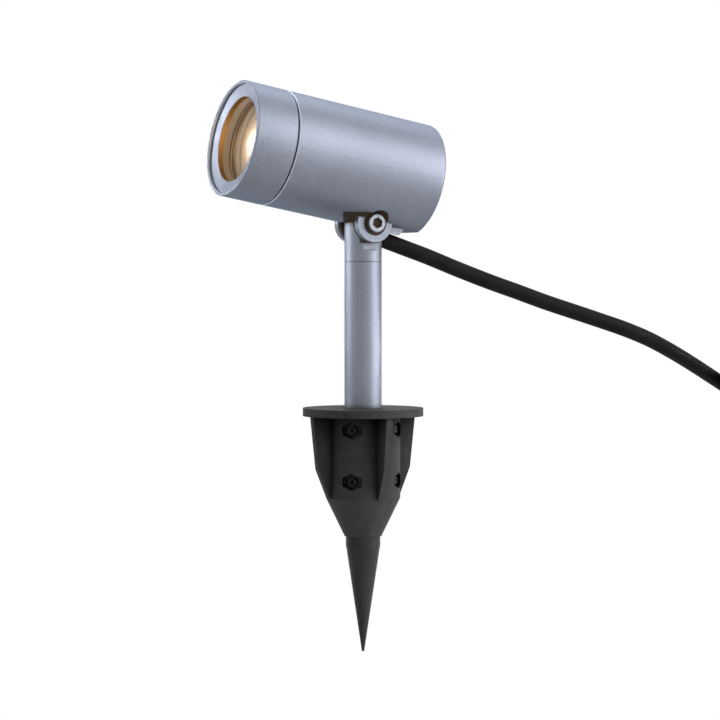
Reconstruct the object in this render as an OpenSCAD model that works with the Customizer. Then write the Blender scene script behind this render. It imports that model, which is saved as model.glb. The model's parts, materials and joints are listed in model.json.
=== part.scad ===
// Garden spike spotlight: a lamp head that tilts and turns on a pole, which a ground spike clamps.
// Millimetres, +Z up. The origin is the centre of the flange's underside, at soil level.
// The lamp faces -Y, and the tilt pivot lies along X with its screw head at +X.

/* [Lamp head] */
// Outside diameter of the barrel and the front cap
head_d = 57.4; // [56:0.2:64]
// Length of the head, from the lip of the cap to the closed end
head_l = 104.5; // [102:0.5:130]
// Distance along the lamp from the tilt pivot back to the closed end
rear_reach = 26.9; // [26.5:0.1:34]
// Height of the tilt pivot above the lowest line of the barrel
pivot_inset = 1.7; // [1:0.1:2.5]
// Upward tilt of the lamp as it stands
rest_tilt = 10.5; // [0:0.1:30]
// Wall of the barrel
barrel_wall = 4.9; // [4.6:0.1:5.5]
// Thickness of the closed end
end_wall = 3.4; // [2.5:0.1:4]
// Rounding of the closed end's edge
end_round = 2; // [1:0.1:2.4]
// Height of the flat under the barrel above its lowest line
flat_rise = 2.3; // [1.5:0.1:3]

/* [Front cap] */
// Length of the front cap
cap_l = 21.5; // [20:0.1:28]
// Groove between the cap and the barrel
seam_gap = 0.6; // [0.3:0.1:1]
// Wall of the cap round the barrel's neck
cap_wall = 1.8; // [1.4:0.1:2.4]
// Width of the cap's ring, from its opening to the outside
ring_w = 7.7; // [7:0.1:10]
// Width of the raised lip round the ring
lip_w = 1.7; // [1:0.1:2.5]
// Height of the lip above the ring
lip_h = 1.4; // [0.5:0.1:2]
// Slope of the ring's face, from the lip in to its opening
ring_dish = 1; // [0.5:0.1:1.5]
// Thickness of the ring at its opening
ring_t = 2.7; // [2:0.1:3.2]
// Thickness of the front glass
glass_t = 4; // [3:0.1:4.5]
// Wall of the rubber channel round the glass
gasket_t = 0.8; // [0.6:0.1:1.2]
// Thickness of the glass's gasket in front of it
gasket_front_t = 3.7; // [3:0.1:4]
// Thickness of the cap's sealing ring
o_ring_t = 1.8; // [1.5:0.1:2]

/* [Light source] */
// Width of the rim round the reflector's mouth
reflector_rim_w = 3; // [2:0.1:6]
// Depth of the reflector
reflector_h = 12.6; // [11:0.1:13]
// Wall of the reflector
reflector_wall = 1.2; // [1:0.1:1.5]
// Diameter of the light-emitting chip
chip_d = 13.6; // [9:0.2:15]
// Thickness of the chip
chip_t = 1.2; // [0.8:0.1:2]
// Distance from the reflector's mouth in to the edge of the lens
lens_inset_w = 3.3; // [2:0.1:5]
// Height of the lens's domed front
lens_dome_h = 2.1; // [1:0.1:3]
// Thickness of the lens's edge
lens_edge_t = 1; // [0.6:0.1:2]
// Diameter of the circuit board
board_d = 32; // [30:0.5:38]
// Thickness of the circuit board
board_t = 1.6; // [1:0.1:2]
// Thickness of the heat spreader's disc
spreader_t = 8.2; // [6:0.1:9]
// Length of the driver's case
driver_l = 44; // [36:1:46]
// Width of the driver's case
driver_w = 30; // [22:1:32]
// Height of the driver's case above the lamp's axis
driver_rise = 10.5; // [6:0.5:11]

/* [Tilt joint] */
// Radius of the two ears that hold the tilt pivot
ear_r = 9.5; // [9:0.1:10.5]
// Thickness of an ear
ear_t = 3.7; // [3:0.1:4.5]
// Width of the knuckle's tongue between the ears
tongue_w = 14.4; // [14:0.1:16]
// Thickness of the friction disc in each gap
disc_t = 2; // [1:0.1:2.2]
// Diameter of the pivot bolt
bolt_d = 6; // [5:0.1:7]
// Diameter of the bolt's head
bolt_head_d = 9.2; // [8.6:0.1:10]
// Height of the bolt's head
bolt_head_h = 3.1; // [2.5:0.1:4]
// Width across the flats of the bolt's socket
bolt_socket_af = 5; // [4:0.5:5.5]
// Width across the flats of the pivot nut
nut_af = 10; // [9:0.1:10.4]
// Height of the pivot nut
nut_h = 5; // [4:0.1:6]
// Diameter of the seat cut for the bolt's head and the nut
seat_d = 12.4; // [12.2:0.1:13]
// Thickness of the washers under them
washer_t = 1; // [0.8:0.1:1.2]

/* [Pole and knuckle] */
// Diameter of the pole and the knuckle
pole_d = 18.6; // [17.6:0.1:19]
// Wall of the pole
pole_wall = 2.2; // [1.8:0.1:2.6]
// Length of the pole above the flange
pole_out_l = 72.9; // [50:0.5:300]
// Length of the pole inside the spike
pole_in_l = 44; // [40:0.5:44]
// Height of the tilt pivot above the seam between knuckle and pole
pivot_above_seam = 19.1; // [18:0.1:30]
// Length of the knuckle's stem inside the pole
stem_l = 17; // [15:0.5:30]

/* [Ground spike] */
// Diameter of the flange
flange_d = 60.3; // [58:0.1:80]
// Thickness of the flange
flange_t = 4; // [3:0.1:6]
// Diameter of the spike's core
core_d = 37.3; // [36:0.1:40]
// Length of the core below the flange
core_l = 40.9; // [38:0.1:48]
// Number of ribs
rib_count = 4; // [3:1:6]
// Thickness of a rib
rib_t = 3.4; // [2:0.1:5]
// Length of the cone below the core
cone_l = 19.3; // [16:0.1:30]
// Diameter of the point's collar
collar_d = 17.3; // [14:0.1:18]
// Height of the point's collar
collar_h = 4.9; // [3:0.1:8]
// Length of the point below its collar
point_l = 53.1; // [40:0.1:90]

/* [Clamp screws] */
// Width across the flats of a clamp nut
clamp_nut_af = 7; // [6:0.1:7.4]
// Thickness of a clamp nut
clamp_nut_t = 3.2; // [2.4:0.1:3.6]
// Diameter of a clamp screw
clamp_screw_d = 4; // [3:0.5:4]
// Depth of the upper row of clamp screws below the flange's underside
clamp_row_drop = 6.5; // [5.5:0.1:8]
// Distance between the two rows
clamp_row_gap = 25.5; // [18:0.1:27]

/* [Cable] */
// Diameter of the cable
cable_d = 8; // [6:0.1:8]
// Slope of the cable's exit below the horizontal
exit_slope = 18.5; // [10:0.5:25]
// Radius of the coil's outer turn
coil_r = 48.8; // [48.5:0.1:55]
// Free space between one turn and the next
coil_gap = 0.6; // [0.5:0.1:1.5]
// Width of the strap that ties the coil
tie_w = 12; // [8:0.5:20]
// Thickness of the strap
tie_t = 0.8; // [0.5:0.1:0.9]
// Diameter of the plug's body
plug_d = 36; // [34:0.5:40]
// Length of the plug's body
plug_l = 34; // [32:0.5:42]
// Diameter of a plug pin
pin_d = 4.8; // [4:0.1:5]
// Length of a plug pin
pin_l = 19; // [16:0.1:20]
// Distance between the two plug pins
pin_pitch = 19; // [18:0.1:20]

/* [Hidden] */
$fn = 96;

// Fits and small clearances
eps = 0.01;
over = 1;
slip = 0.05;
fit = 0.1;
run_fit = 0.08;
swing_gap = 0.4;
pan_gap = 0.3;
edge = 0.4;

// Heights
seam_z = flange_t + pole_out_l;
pivot_z = seam_z + pivot_above_seam;

// Lamp head: distances f run along the lamp axis from the pivot to the front, n is the height above the pivot
neck_wall = 2.4;
channel_step = 1.4;
gasket_hold = 1.8;
gasket_lip_back = 0.3;
o_ring_set_back = 3;
head_r = head_d / 2;
axis_n = head_r - pivot_inset;
flat_n = flat_rise - pivot_inset;
front_f = head_l - rear_reach;
cap_back_f = front_f - cap_l;
barrel_front_f = cap_back_f - seam_gap;
ring_f = front_f - lip_h;
opening_f = ring_f - ring_dish;
glass_seat_f = opening_f - ring_t;
cap_bore_r = head_r - cap_wall;
neck_r = cap_bore_r - fit;
neck_bore_r = neck_r - neck_wall;
channel_r = cap_bore_r - channel_step;
opening_r = head_r - ring_w;
glass_pack = glass_t + gasket_t + gasket_front_t;
neck_front_f = glass_seat_f - glass_pack;
cavity_r = head_r - barrel_wall;
cavity_back_f = end_wall - rear_reach;
o_ring_f = barrel_front_f + o_ring_set_back;

// Light source, stacked back from the barrel's neck
reflector_rim_t = 1.2;
chip_margin = 1;
bowl_steps = 12;
lens_gap = 0.4;
lens_steps = 8;
spreader_boss_r = 12;
spreader_boss_l = 8;
board_screw_r = 11.5;
board_screw_d = 3;
board_screw_l = 8;
wire_hole_r = 3.2;
led_wire_d = 1.6;
led_wire_n = 1.1;
reflector_f = neck_front_f - fit;
board_front_f = reflector_f - reflector_rim_t - reflector_h;
spreader_front_f = board_front_f - board_t;
spreader_back_f = spreader_front_f - spreader_t;
spreader_r = neck_bore_r - fit;
reflector_r = spreader_r - reflector_rim_w;
lens_r = reflector_r - lens_inset_w;
lens_front_f = neck_front_f + gasket_t - lens_gap;

// Tilt joint: v is the distance sideways from the lamp's middle plane
seat_depth = 1.5;
bolt_tail = 1;
disc_inset = 0.2;
ledge_gap = 0.25;
relief_r = 13.5;
relief_step = 1.2;
slot_side_gap = 0.7;
tilt_up = 40;
tilt_down = 35;
highest = rest_tilt + tilt_up;
lowest = rest_tilt - tilt_down;
tongue_v = tongue_w / 2;
ear_in_v = tongue_v + fit + disc_t;
ear_out_v = ear_in_v + ear_t;
seat_v = ear_out_v - seat_depth;
seat_r = seat_d / 2;
bolt_r = bolt_d / 2;
bolt_bore_r = bolt_r + run_fit;
head_v = seat_v + washer_t;
disc_r = ear_r - disc_inset;
pole_r = pole_d / 2;
slot_r = max(ear_r, pole_r) + swing_gap;
ledge_drop = ear_r + ledge_gap;
relief_v = tongue_v + relief_step;
slot_v = tongue_v + slot_side_gap;

// Joint bracket: a block set in the barrel, which carries the ears and the tongue's slot
block_front_wall = 2.1;
block_roof = 3.1;
tail_back = 18.1;
tail_drop = 3.6;
tail_bevel = 2.4;
tail_step = 2.6;
bracket_gasket_t = 0.8;
floor_t = 2.4;
floor_lead = 2;
block_front_f = slot_r + block_front_wall;
block_step = ear_r + fit;
block_top_n = slot_r + block_roof;
tail_low_n = flat_n - tail_drop;
tail_v = ear_out_v - tail_step;
tail_in_v = relief_v + swing_gap;
pocket_top_n = block_top_n + bracket_gasket_t;
floor_n = pocket_top_n + floor_t;
floor_front_f = block_front_f + floor_lead;
bracket_screw_d = 4;
bracket_screw_v = 7;
bracket_screw_grip = 5;
bracket_head_d = 7;
bracket_head_h = 2.2;
bracket_head_sink = 1.2;
bracket_socket_af = 2.5;
front_screw_in = 1.3;
back_screw_in = 5.6;
bracket_screw_places = [block_step - front_screw_in, back_screw_in - tail_back];
wire_way_v = 3;
wire_way_back = 9;
wire_way_front = 3.2;
wire_way_roof = 1.1;

// Driver, its terminals and the cable's cores
foot_h = 2.3;
foot_in_v = 6;
foot_l = 4;
foot_front_f = 4.2;
driver_back_gap = 3;
driver_round = 2;
terminal_w = 18;
terminal_h = 8;
terminal_l = 18;
terminal_back = 8;
terminal_hole_d = 3;
core_wire_d = 2;
core_wire_pitch = 2.1;
core_wire_back_gap = 1.7;
grommet_rim = 1;
wire_grommet_r = wire_hole_r + grommet_rim;
driver_low_n = floor_n + foot_h;
driver_top_n = axis_n + driver_rise;
driver_h = driver_top_n - driver_low_n;
driver_back_f = cavity_back_f + driver_back_gap;
driver_front_f = driver_back_f + driver_l;
terminal_back_f = driver_back_f + terminal_back;
wire_back_f = driver_back_f - core_wire_back_gap;
wire_low_n = floor_n + core_wire_d / 2 + fit;
wire_high_n = driver_top_n + terminal_h / 2;

// Pole, knuckle and their lock
groove_depth = 1;
groove_h = 4.6;
groove_drop = 9;
grub_d = 4;
grub_l = 3;
stem_bore_r = 3.4;
stem_ring_t = 1.4;
stem_ring_drop = 2.6;
pan_washer_lift = 0.02;
pan_washer_inset = 0.2;
pole_bore_r = pole_r - pole_wall;
stem_r = pole_bore_r - run_fit;
groove_r = stem_r - groove_depth;
groove_z = seam_z - groove_drop;
stem_ring_z = seam_z - stem_ring_drop;

// Cable exit through the back of the knuckle
exit_drop = 7.3;
grommet_wall = 0.8;
grommet_l = 3.6;
grommet_in = 1;
exit_bore_l = 5;
channel_w = 6;
channel_y = 4.2;
channel_l = 3.4;
exit_y = pole_r;
exit_z = pivot_z - exit_drop;
grommet_bore_r = cable_d / 2 + fit;
grommet_r = grommet_bore_r + grommet_wall;
exit_bore_r = grommet_r + slip;

// Spike
socket_gap = 0.15;
rib_step = 1.45;
rib_taper = 2.9;
rib_shoulder_share = 0.64;
rib_end_step = 1;
cone_step = 0.65;
point_inset = 0.1;
tip_r = 0.6;
peg_d = 11;
peg_l = 12;
nut_seat_wall = 2.8;
pocket_gap = 0.3;
entry_w = 10;
entry_h = 8.4;
entry_depth = 2.2;
clamp_screw_l = 8;
clamp_socket_af = 2;
clamp_socket_depth = 2;
core_r = core_d / 2;
socket_r = pole_r + socket_gap;
socket_low_z = flange_t - pole_in_l;
rib_top_r = flange_d / 2 - rib_step;
rib_mid_r = rib_top_r - rib_taper;
rib_end_r = core_r + rib_end_step;
collar_r = collar_d / 2;
cone_end_r = collar_r + cone_step;
point_top_z = -(core_l + cone_l);
nut_seat_r = socket_r + nut_seat_wall;
pocket_af = clamp_nut_af + pocket_gap;
clamp_screw_r = clamp_screw_d / 2;
clamp_screw_in = pole_r + slip;

// Cable route, from inside the knuckle to the straight stretch before the coil
cable_r = cable_d / 2;
plug_r = plug_d / 2;
lift = cable_r + tie_t + fit;
run_sides = 10;
run_points = [[0, 6.5, 89.6], [0, 22, 84.5], [0, 37, 79.6], [0, 54, 73.5], [0, 72, 67.4], [0, 90, 61.8],
              [0, 107, 56.4], [0, 124, 51.5], [0, 140, 46.9], [0, 156, 42.1], [-2.1, 172.8, 36.5],
              [-7.1, 191.1, 29.5], [-14.2, 210, 22], [-21, 227.7, 14.6], [-24.8, 240.5, 9],
              [-26, 249.5, 5.7], [-26.2, 257.5, 4.9]];
coil_start = [-26.2, 264.8];

// Coil: it spirals in on its first layer, out on its second and in again on part of a third. From there it
// turns in across the coil and rises to the plug, which lies on the third layer
coil_sides = 6;
layer_turns = 2;
rings_per_turn = 24;
rise_turn = 2 * layer_turns + 0.5;
leave_turn = 2 * layer_turns + 0.75;
leave_bend_r = 34.5;
tie_turn = 0.25;
coil_pitch = cable_d + coil_gap;
coil_centre = [coil_start[0] + coil_r, coil_start[1]];
coil_steps = leave_turn * rings_per_turn;
leave_steps = rings_per_turn / 4;
leave_shift = coil_r - coil_pitch * (leave_turn - 2 * layer_turns) - leave_bend_r;
top_layer_z = lift + 2 * coil_pitch;
plug_axis_z = top_layer_z + cable_r + fit + plug_r;

// Plug
relief_wall = 1.4;
plug_relief_l = 20;
plug_neck_l = 12;
plug_round = 1;
plug_waist_share = 0.7;
clip_w = 4;
clip_t = 1;
clip_l = 16;
pin_root_step = 0.8;
pin_face_gap = 0.3;
plug_back = [coil_centre[0] - leave_bend_r, coil_centre[1] - leave_shift, plug_axis_z];
plug_relief_r = cable_r + relief_wall;
plug_total_l = plug_relief_l + plug_l;
pin_root = plug_total_l - plug_l / 2;
pin_root_d = pin_d - pin_root_step;

// Colours
silver = [0.58, 0.6, 0.65];
black_plastic = [0.16, 0.16, 0.165];
black_rubber = [0.09, 0.09, 0.09];
steel = [0.7, 0.7, 0.72];
brown = [0.3, 0.24, 0.19];

function unit(v) = v / norm(v);
function smooth(s) = let (q = min(1, max(0, s))) q * q * (3 - 2 * q);
function inward(t) = let (u = t % (2 * layer_turns)) min(u, 2 * layer_turns - u);
function climb(t, turn) = smooth((t - turn) * 2 + 0.5);
function coil_z(t) = lift + coil_pitch * (climb(t, layer_turns) + climb(t, 2 * layer_turns))
    + (plug_axis_z - top_layer_z) * smooth((t - rise_turn) * 2);
function coil_point(t) = let (r = coil_r - coil_pitch * inward(t), a = 180 - 360 * t)
    [coil_centre[0] + r * cos(a), coil_centre[1] + r * sin(a), coil_z(t)];
function leave_point(t) = let (a = 180 - 360 * t)
    [coil_centre[0] + leave_bend_r * cos(a), coil_centre[1] - leave_shift + leave_bend_r * sin(a), coil_z(t)];
coil_points = concat([run_points[len(run_points) - 1]],
                     [for (i = [0 : coil_steps]) coil_point(i / rings_per_turn)],
                     [for (i = [1 : leave_steps]) leave_point(leave_turn + i / rings_per_turn)]);
function tangent(p, i) = unit(p[min(i + 1, len(p) - 1)] - p[max(i - 1, 0)]);
function ring(c, t, side, r, count) = let (a = unit(side - (side * t) * t), b = cross(t, a))
    [for (k = [0 : count - 1]) c + r * (cos(360 * k / count) * a + sin(360 * k / count) * b)];
function path_length(p, i = 1) = i >= len(p) ? 0 : norm(p[i] - p[i - 1]) + path_length(p, i + 1);
coil_least_gap = min([for (i = [0 : coil_steps]) for (j = [i + rings_per_turn / 2 : 1 : len(coil_points) - 1])
    norm(coil_points[i] - coil_points[j])]) - cable_d;
run_length = path_length(run_points);
coil_length = path_length(coil_points);
echo(coil_least_gap = coil_least_gap, run_length = run_length, coil_length = coil_length,
     cable_length = run_length + coil_length);

// Places its children in the head's own frame: X across, -Y along the lamp to the front, Z up from the pivot
module in_head() {
    translate([0, 0, pivot_z]) rotate([-rest_tilt, 0, 0]) children();
}

// Turns children drawn along +Z onto the lamp axis, starting at distance f and pointing to the front
module on_axis(f) {
    translate([0, -f, axis_n]) rotate([90, 0, 0]) children();
}

// Turns children drawn along +Z onto the pivot, starting at v and pointing along +X
module across(v) {
    translate([v, 0, 0]) rotate([0, 90, 0]) children();
}

// A box in the head's frame between two sideways limits, two distances f and two heights n
module head_box(v, f0, f1, n0, n1) {
    translate([-v, -f1, n0]) cube([2 * v, f1 - f0, n1 - n0]);
}

// Mirrors its children to the -X side when s is -1
module on_side(s) {
    mirror([s < 0 ? 1 : 0, 0, 0]) children();
}

module washer_shape(outer, inner, t) {
    difference() {
        cylinder(r = outer, h = t);
        translate([0, 0, -over]) cylinder(r = inner, h = t + 2 * over);
    }
}

module hexagon(w, h) {
    polygon([[h / 2, 0], [h / 4, w / 2], [-h / 4, w / 2], [-h / 2, 0], [-h / 4, -w / 2], [h / 4, -w / 2]]);
}

function hex_r(af) = af / sqrt(3);

module hex_prism(af, h) {
    cylinder(r = hex_r(af), h = h, $fn = 6);
}

// A tube swept along points, with triangles throughout
module tube(points, r, sides, side) {
    n = len(points);
    verts = [for (i = [0 : n - 1]) each ring(points[i], tangent(points, i), side, r, sides)];
    wall = [for (i = [0 : n - 2]) for (k = [0 : sides - 1])
        let (a = i * sides + k, b = i * sides + (k + 1) % sides)
            each [[a, a + sides, b], [b, a + sides, b + sides]]];
    first = [for (k = [1 : sides - 2]) [0, k, k + 1]];
    last = [for (k = [1 : sides - 2]) [(n - 1) * sides, (n - 1) * sides + k + 1, (n - 1) * sides + k]];
    polyhedron(points = verts, faces = concat(wall, first, last));
}

// Ground spike

module each_clamp() {
    for (side = [0 : rib_count - 1])
        for (row = [0 : 1])
            rotate([0, 0, (side + 0.5) * 360 / rib_count])
                translate([0, 0, -(clamp_row_drop + row * clamp_row_gap)]) rotate([0, 90, 0]) children();
}

module spike_body() {
    color(black_plastic) difference() {
        union() {
            cylinder(r = flange_d / 2, h = flange_t);
            translate([0, 0, -core_l]) cylinder(r = core_r, h = core_l + over);
            translate([0, 0, point_top_z]) cylinder(r1 = cone_end_r, r2 = core_r, h = cone_l);
            for (side = [0 : rib_count - 1])
                rotate([90, 0, side * 360 / rib_count])
                    linear_extrude(height = rib_t, center = true)
                        polygon([[0, over], [rib_top_r, over], [rib_top_r, 0],
                                 [rib_mid_r, -core_l * rib_shoulder_share], [rib_end_r, -core_l],
                                 [0, -core_l]]);
        }
        translate([0, 0, socket_low_z]) cylinder(r = socket_r, h = pole_in_l + over);
        translate([0, 0, point_top_z - over]) cylinder(r = peg_d / 2 + slip, h = peg_l + over);
        each_clamp() {
            translate([0, 0, nut_seat_r]) hex_prism(pocket_af, flange_d);
            translate([0, 0, core_r - entry_depth])
                linear_extrude(height = flange_d) hexagon(entry_w, entry_h);
            cylinder(r = clamp_screw_r + fit, h = core_r);
        }
    }
}

module spike_point() {
    color(black_plastic) union() {
        translate([0, 0, point_top_z]) cylinder(r = peg_d / 2, h = peg_l - edge);
        translate([0, 0, point_top_z - collar_h]) cylinder(r = collar_r, h = collar_h);
        translate([0, 0, point_top_z - collar_h - point_l])
            cylinder(r1 = tip_r, r2 = collar_r - point_inset, h = point_l);
    }
}

module clamp_nuts() {
    color(steel) each_clamp()
        translate([0, 0, nut_seat_r + eps]) difference() {
            hex_prism(clamp_nut_af, clamp_nut_t);
            translate([0, 0, -over]) cylinder(r = clamp_screw_r + slip, h = clamp_nut_t + 2 * over);
        }
}

module clamp_screws() {
    color(steel) each_clamp()
        translate([0, 0, clamp_screw_in]) difference() {
            union() {
                cylinder(r = clamp_screw_r, h = clamp_screw_l - edge);
                translate([0, 0, clamp_screw_l - edge])
                    cylinder(r1 = clamp_screw_r, r2 = clamp_screw_r - edge, h = edge);
            }
            translate([0, 0, clamp_screw_l - clamp_socket_depth])
                hex_prism(clamp_socket_af, clamp_socket_depth + over);
        }
}

// Pole and knuckle

module pole() {
    low_z = socket_low_z + eps;
    color(silver) difference() {
        translate([0, 0, low_z]) cylinder(r = pole_r, h = seam_z - low_z);
        translate([0, 0, socket_low_z - over])
            cylinder(r = pole_bore_r, h = seam_z - socket_low_z + 2 * over);
        translate([0, 0, groove_z]) rotate([0, -90, 0]) cylinder(r = grub_d / 2 + slip, h = pole_d);
    }
}

module pan_grub_screw() {
    color(steel) translate([0, 0, groove_z]) rotate([0, -90, 0])
        translate([0, 0, groove_r + fit]) difference() {
            cylinder(r = grub_d / 2, h = grub_l);
            translate([0, 0, grub_l / 2]) hex_prism(grub_d / 2, grub_l);
        }
}

module knuckle() {
    color(silver) difference() {
        union() {
            translate([0, 0, seam_z + pan_gap]) cylinder(r = pole_r, h = pivot_above_seam - pan_gap);
            translate([0, 0, seam_z - stem_l]) cylinder(r = stem_r, h = stem_l + over);
            intersection() {
                translate([0, 0, pivot_z - over]) cylinder(r = pole_r, h = pole_r + over);
                translate([0, 0, pivot_z]) across(-pole_r) cylinder(r = pole_r, h = pole_d);
            }
        }
        for (s = [-1, 1]) on_side(s) translate([0, 0, pivot_z]) {
            translate([tongue_v, -pole_d, -ledge_drop]) cube([pole_d, 2 * pole_d, 2 * pole_d]);
            across(relief_v) cylinder(r = relief_r, h = pole_d);
        }
        translate([0, 0, pivot_z]) across(-pole_d) cylinder(r = bolt_bore_r, h = 2 * pole_d);
        at_exit() translate([0, 0, -exit_bore_l]) cylinder(r = exit_bore_r, h = pole_d);
        translate([-channel_w / 2, channel_y, exit_z]) cube([channel_w, channel_l, pole_d]);
        translate([0, 0, groove_z]) rotate_extrude()
            translate([groove_r, -groove_h / 2]) square([pole_d, groove_h]);
        translate([0, 0, stem_ring_z]) rotate_extrude()
            translate([stem_r - stem_ring_t, -stem_ring_t / 2 - slip])
                square([pole_d, stem_ring_t + 2 * slip]);
        translate([0, 0, seam_z - stem_l - over]) cylinder(r = stem_bore_r, h = stem_l + over);
    }
}

module knuckle_o_ring() {
    color(black_rubber) translate([0, 0, stem_ring_z]) rotate_extrude()
        translate([stem_r - stem_ring_t / 2 + slip, 0]) circle(d = stem_ring_t, $fn = 24);
}

module pan_washer() {
    color(brown) translate([0, 0, seam_z + pan_washer_lift])
        washer_shape(pole_r - pan_washer_inset, stem_r + slip, pan_gap - pan_washer_lift);
}

// Cable

// Turns children drawn along +Z onto the cable's exit, pointing out of the knuckle
module at_exit() {
    translate([0, exit_y, exit_z]) rotate([-90 - exit_slope, 0, 0]) children();
}

module cable_grommet() {
    color(black_rubber) at_exit() translate([0, 0, -grommet_l - grommet_in])
        washer_shape(grommet_r, grommet_bore_r, grommet_l);
}

module cord_run() {
    color(black_rubber) tube(run_points, cable_r, run_sides, [1, 0, 0]);
}

module cord_coil() {
    color(black_rubber) tube(coil_points, cable_r, coil_sides, [0, 0, 1]);
}

module tie_outline(grow) {
    low_r = coil_r - coil_pitch * (layer_turns - tie_turn) - cable_r - coil_gap;
    high_r = coil_r - coil_pitch * tie_turn + cable_r + coil_gap;
    top_z = top_layer_z + cable_r + coil_gap / 4;
    translate([low_r - grow, tie_t - grow])
        square([high_r - low_r + 2 * grow, top_z - tie_t + 2 * grow]);
}

module cord_tie() {
    color(brown) translate([coil_centre[0], coil_centre[1], 0]) rotate([90, 0, 180 - 360 * tie_turn])
        translate([0, 0, -tie_w / 2]) linear_extrude(height = tie_w) difference() {
            tie_outline(tie_t);
            tie_outline(0);
        }
}

// Places its children at the back of the plug with +Z along the plug to its pins
module on_plug() {
    translate(plug_back) rotate([-90, 0, 0]) children();
}

module each_clip() {
    for (s = [-1, 1])
        translate([-clip_w / 2, s * (plug_r - clip_t / 2) - clip_t / 2, plug_total_l - clip_l]) children();
}

module plug_body() {
    color(black_rubber) on_plug() difference() {
        rotate_extrude() polygon([
            [0, 0], [plug_relief_r, 0], [plug_relief_r + plug_round, plug_relief_l],
            [plug_r * plug_waist_share, plug_relief_l + plug_neck_l / 2],
            [plug_r - plug_round, plug_relief_l + plug_neck_l],
            [plug_r, plug_relief_l + plug_neck_l + plug_round], [plug_r, plug_total_l - plug_round],
            [plug_r - plug_round, plug_total_l], [0, plug_total_l]]);
        for (s = [-1, 1]) translate([s * pin_pitch / 2, 0, pin_root]) cylinder(d = pin_root_d, h = plug_l);
        each_clip() cube([clip_w, clip_t, clip_l + over]);
    }
}

module plug_pins() {
    start = plug_total_l + pin_face_gap;
    round_start = plug_total_l + pin_l - plug_round;
    color(steel) on_plug() for (s = [-1, 1]) translate([s * pin_pitch / 2, 0, 0]) {
        translate([0, 0, pin_root]) cylinder(d = pin_root_d, h = start - pin_root);
        translate([0, 0, start]) cylinder(d = pin_d, h = round_start - start);
        translate([0, 0, round_start]) cylinder(r1 = pin_d / 2, r2 = pin_d / 2 - edge, h = plug_round);
    }
}

module plug_earth_clips() {
    color(steel) on_plug() each_clip() cube([clip_w, clip_t, clip_l]);
}

// Tilt joint

module barrel_envelope() {
    difference() {
        on_axis(-rear_reach) cylinder(r = head_r, h = head_l);
        head_box(head_d, -2 * rear_reach, block_front_f, flat_n - head_d, flat_n);
    }
}

module block_shape(gap) {
    head_box(ear_out_v + gap, -block_step - gap, block_front_f + gap, flat_n - head_d, block_top_n + gap);
    head_box(tail_v + gap, -tail_back - gap, -block_step + over, flat_n - head_d, block_top_n + gap);
}

// The tongue's slot: a round clearance between the ears, and room for the knuckle's edges at both tilt limits
module tongue_slot() {
    across(-ear_in_v) cylinder(r = slot_r, h = 2 * ear_in_v);
    translate([slot_v, 0, 0]) rotate([90, 0, -90]) linear_extrude(height = 2 * slot_v)
        polygon(slot_outline());
}

// Outline of that room as [f, n] points; the knuckle's front and back edges sweep it
function edge_point(side, tilt, down) = let (y = side * pole_r, z = -down)
    [-y * cos(tilt) + z * sin(tilt), y * sin(tilt) + z * cos(tilt)];
function edge_reach(side, tilt) = let (y = side * pole_r) (y * sin(tilt) - flat_n) / cos(tilt);
function slot_outline() = let (
        back_top = edge_point(1, highest, 0), back_low = edge_point(1, highest, edge_reach(1, highest)),
        front_top = edge_point(-1, lowest, 0), front_low = edge_point(-1, lowest, edge_reach(-1, lowest)))
    [[0, slot_r - over], [back_top[0] - swing_gap, back_top[1] + swing_gap],
     [back_low[0] - 1.5 * swing_gap, flat_n + swing_gap / 2], [back_low[0] - 1.5 * swing_gap, -head_r],
     [front_low[0] + 1.5 * swing_gap, -head_r], [front_low[0] + 1.5 * swing_gap, flat_n + swing_gap / 2],
     [front_top[0] + swing_gap, front_top[1] + swing_gap]];

module pivot_seats() {
    for (s = [-1, 1]) on_side(s) across(seat_v) cylinder(r = seat_r, h = head_r);
}

module each_bracket_screw() {
    for (s = [-1, 1]) for (f = bracket_screw_places) translate([s * bracket_screw_v, -f, 0]) children();
}

module joint_bracket() {
    color(silver) in_head() difference() {
        union() {
            intersection() {
                block_shape(0);
                barrel_envelope();
            }
            for (s = [-1, 1]) on_side(s) {
                across(ear_in_v - over) cylinder(r = ear_r, h = ear_t + over);
                translate([tail_in_v, 0, 0]) rotate([90, 0, 90]) linear_extrude(height = tail_v - tail_in_v)
                    polygon([[0, flat_n + over], [tail_back, flat_n + over], [tail_back, flat_n],
                             [tail_back - tail_bevel, tail_low_n], [0, tail_low_n]]);
            }
            intersection() {
                head_box(ear_out_v, -ear_r, ear_r, 0, slot_r);
                on_axis(-rear_reach) cylinder(r = head_r, h = head_l);
            }
        }
        tongue_slot();
        across(-head_r) cylinder(r = bolt_bore_r, h = head_d);
        pivot_seats();
        head_box(wire_way_v, -wire_way_back, wire_way_front, 0, block_top_n - wire_way_roof);
        cylinder(r = wire_hole_r, h = head_r);
        each_bracket_screw() translate([0, 0, block_top_n - bracket_screw_grip])
            cylinder(r = bracket_screw_d / 2 + slip, h = head_r);
    }
}

module bracket_gasket() {
    color(black_rubber) in_head() difference() {
        intersection() {
            union() {
                head_box(ear_out_v - fit, -block_step, block_front_f - fit, block_top_n, pocket_top_n);
                head_box(tail_v - fit, -tail_back + fit, -block_step + over, block_top_n, pocket_top_n);
            }
            barrel_envelope();
        }
        cylinder(r = wire_grommet_r, h = head_r);
        each_bracket_screw() cylinder(r = bracket_screw_d / 2 + fit, h = head_r);
    }
}

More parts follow.
